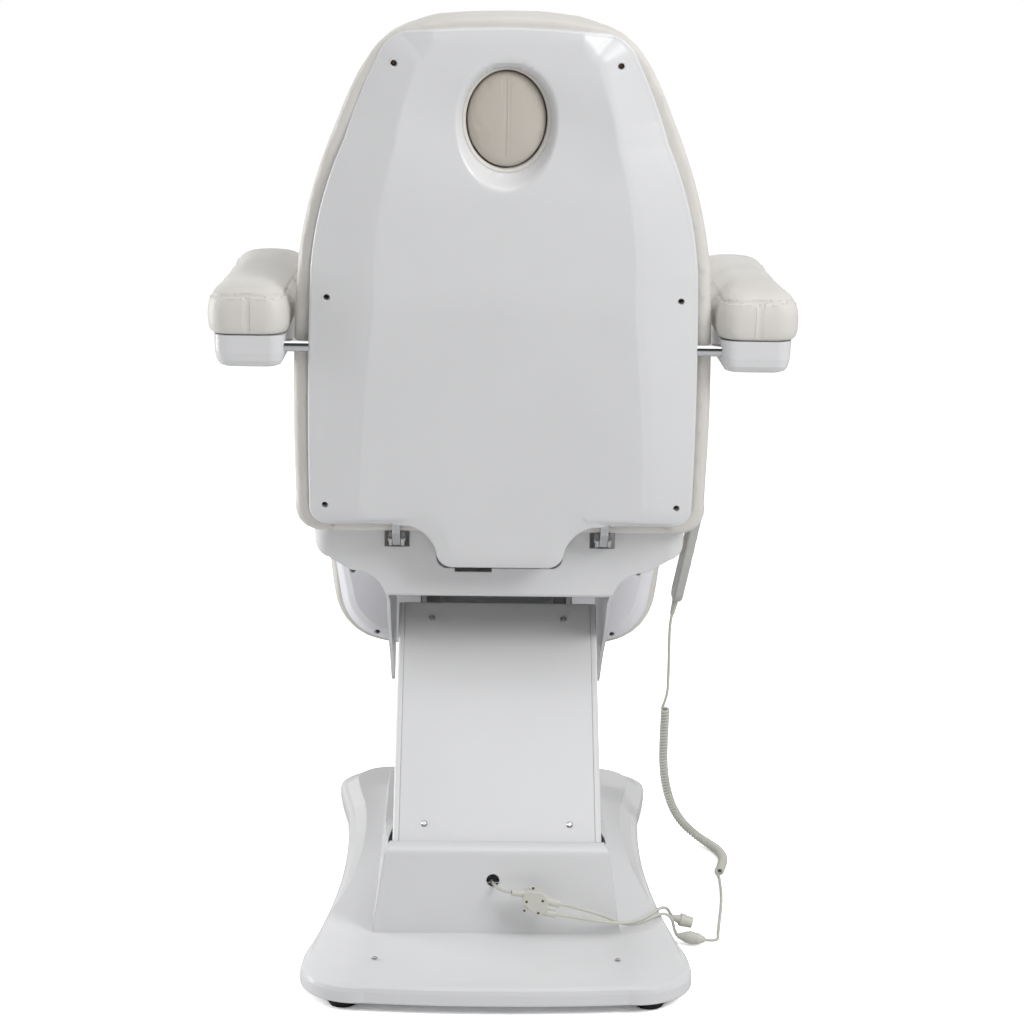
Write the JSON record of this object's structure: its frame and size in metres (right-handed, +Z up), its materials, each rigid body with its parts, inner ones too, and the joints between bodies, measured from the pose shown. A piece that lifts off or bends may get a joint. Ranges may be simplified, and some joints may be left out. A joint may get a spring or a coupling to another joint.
{
  "type": "pedicure spa chair",
  "caption": "Powered pedicure chair on a lift column with a reclining back, split leg rest, turning armrests, a plug-in face opening and a corded handset.",
  "frame": {"origin": "on the floor, under the middle of the base, at the centre of the object's footprint", "axes": "+Z up; the sitter faces -Y, so the back of the chair is towards +Y; +X is the sitter's left"},
  "size_m": [0.874, 0.96, 1.4503],
  "materials": {
    "white_shell": "glossy moulded white plastic",
    "white_panel": "semi-gloss white enamelled sheet",
    "frame_enamel": "light grey stove enamel",
    "zinc_steel": "zinc plated steel",
    "zinc_screw": "bright zinc plated screw",
    "bronze_screw": "dark bronzed screw",
    "rod_chrome": "polished chrome",
    "rod_steel": "ground steel rod",
    "motor_body": "dark grey moulded plastic and aluminium tube",
    "foot_rubber": "black rubber",
    "board_wood": "plain plywood",
    "white_leather": "warm white synthetic leather",
    "plug_leather": "cream synthetic leather",
    "handset_plastic": "satin white plastic",
    "button_plastic": "grey rubber keys",
    "cord_plastic": "soft warm grey cable sheath",
    "connector_plastic": "moulded warm grey plastic"
  },
  "bodies": {
    "base": {"base_cover": "white_shell", "base_frame": "frame_enamel", "base_feet": "foot_rubber", "deck_screws": "zinc_screw", "base_pins": "zinc_steel", "lift_motor": "motor_body", "outlet_lead": "cord_plastic", "splitter_block": "connector_plastic", "branch_lead_a": "cord_plastic", "branch_lead_b": "cord_plastic", "inline_connector": "connector_plastic", "spare_socket": "connector_plastic", "hand_lead": "cord_plastic", "curly_cord": "cord_plastic", "hand_tail": "cord_plastic"},
    "lift_arm": {"arm_frame": "frame_enamel", "arm_cover": "white_shell", "arm_panel": "white_panel", "panel_screws": "zinc_screw"},
    "tie_arm": {"tie_arm": "frame_enamel"},
    "lift_rod": {"lift_rod": "rod_steel"},
    "carrier": {"seat_frame": "zinc_steel", "carrier_pins": "zinc_steel", "seat_board": "board_wood", "seat_cushion": "white_leather", "pan_cover": "white_shell", "handset_holder": "zinc_steel", "back_motor": "motor_body", "leg_motor": "motor_body"},
    "back_rod": {"back_rod": "rod_steel"},
    "leg_rod": {"leg_rod": "rod_steel"},
    "backrest": {"back_frame": "zinc_steel", "back_board": "board_wood", "back_cushion": "white_leather", "back_shell": "white_shell", "shell_screws": "bronze_screw", "armrest_rod": "rod_chrome"},
    "face_plug": {"face_plug": "plug_leather"},
    "armrest_left": {"armrest_pad_left": "white_leather", "armrest_shell_left": "white_shell"},
    "armrest_right": {"armrest_pad_right": "white_leather", "armrest_shell_right": "white_shell"},
    "leg_frame": {"leg_frame": "zinc_steel"},
    "leg_left": {"leg_cushion_left": "white_leather", "leg_board_left": "board_wood", "leg_shell_left": "white_shell", "leg_screws_left": "bronze_screw"},
    "leg_right": {"leg_cushion_right": "white_leather", "leg_board_right": "board_wood", "leg_shell_right": "white_shell", "leg_screws_right": "bronze_screw"},
    "handset": {"handset_body": "handset_plastic", "handset_strain_relief": "cord_plastic"},
    "button_1": {"handset_button_1": "button_plastic"},
    "button_2": {"handset_button_2": "button_plastic"},
    "button_3": {"handset_button_3": "button_plastic"},
    "button_4": {"handset_button_4": "button_plastic"},
    "button_5": {"handset_button_5": "button_plastic"},
    "button_6": {"handset_button_6": "button_plastic"}
  },
  "joints": [
    {"name": "lift", "type": "hinge", "parent": "base", "child": "lift_arm", "pos_m": [0, 0.205, 0.124], "axis": [-1, 0, 0], "range_deg": [-26, 20], "deforming": ["hand_lead", "curly_cord"]},
    {"name": "tie", "type": "hinge", "parent": "base", "child": "tie_arm", "pos_m": [0, 0.175, 0.068], "axis": [-1, 0, 0], "range_deg": [-26, 20]},
    {"name": "carrier_level", "type": "hinge", "parent": "lift_arm", "child": "carrier", "pos_m": [0, -0.18475, 0.49776], "axis": [-1, 0, 0], "range_deg": [-20, 26]},
    {"name": "lift_rod_slide", "type": "slide", "parent": "base", "child": "lift_rod", "axis": [0, 0.9272, 0.3746], "range_m": [-0.0576, 0.0443]},
    {"name": "recline", "type": "hinge", "parent": "carrier", "child": "backrest", "pos_m": [0, 0.126, 0.64], "axis": [-1, 0, 0], "range_deg": [0, 78]},
    {"name": "back_rod_slide", "type": "slide", "parent": "carrier", "child": "back_rod", "axis": [0, -1, 0], "range_m": [0, 0.038]},
    {"name": "leg_raise", "type": "hinge", "parent": "carrier", "child": "leg_frame", "pos_m": [0, -0.37, 0.624], "axis": [-1, 0, 0], "range_deg": [0, 88]},
    {"name": "leg_rod_slide", "type": "slide", "parent": "carrier", "child": "leg_rod", "axis": [0, -1, 0], "range_m": [0, 0.0697]},
    {"name": "leg_left_swing", "type": "hinge", "parent": "leg_frame", "child": "leg_left", "pos_m": [0.232, -0.38, 0.562], "axis": [0, -1, 0], "range_deg": [0, 12]},
    {"name": "leg_right_swing", "type": "hinge", "parent": "leg_frame", "child": "leg_right", "pos_m": [-0.232, -0.38, 0.562], "axis": [0, 1, 0], "range_deg": [0, 12]},
    {"name": "armrest_left_turn", "type": "hinge", "parent": "backrest", "child": "armrest_left", "pos_m": [0.38, 0.19416, 0.95256], "axis": [-1, 0, 0], "range_deg": [-78, 95]},
    {"name": "armrest_right_turn", "type": "hinge", "parent": "backrest", "child": "armrest_right", "pos_m": [-0.38, 0.19416, 0.95256], "axis": [-1, 0, 0], "range_deg": [-78, 95]},
    {"name": "face_plug_out", "type": "slide", "parent": "backrest", "child": "face_plug", "axis": [0, -0.9903, 0.1392], "range_m": [0, 0.12]},
    {"name": "handset_lift_off", "type": "slide", "parent": "carrier", "child": "handset", "axis": [0, 0, 1], "range_m": [0, 0.03]},
    {"name": "button_1_press", "type": "slide", "parent": "handset", "child": "button_1", "axis": [0.981, 0, 0.1942], "range_m": [0, 0.001], "stiffness_N_per_m": 300},
    {"name": "button_2_press", "type": "slide", "parent": "handset", "child": "button_2", "axis": [0.981, 0, 0.1942], "range_m": [0, 0.001], "stiffness_N_per_m": 300},
    {"name": "button_3_press", "type": "slide", "parent": "handset", "child": "button_3", "axis": [0.981, 0, 0.1942], "range_m": [0, 0.001], "stiffness_N_per_m": 300},
    {"name": "button_4_press", "type": "slide", "parent": "handset", "child": "button_4", "axis": [0.981, 0, 0.1942], "range_m": [0, 0.001], "stiffness_N_per_m": 300},
    {"name": "button_5_press", "type": "slide", "parent": "handset", "child": "button_5", "axis": [0.981, 0, 0.1942], "range_m": [0, 0.001], "stiffness_N_per_m": 300},
    {"name": "button_6_press", "type": "slide", "parent": "handset", "child": "button_6", "axis": [0.981, 0, 0.1942], "range_m": [0, 0.001], "stiffness_N_per_m": 300}
  ],
  "couplings": [
    {"joint": "tie", "follows": "lift", "ratio": 1},
    {"joint": "carrier_level", "follows": "lift", "ratio": -1},
    {"joint": "lift_rod_slide", "follows": "lift", "m_per_rad": 0.1262},
    {"joint": "back_rod_slide", "follows": "recline", "m_per_rad": 0.02773},
    {"joint": "leg_rod_slide", "follows": "leg_raise", "m_per_rad": 0.04523}
  ]
}
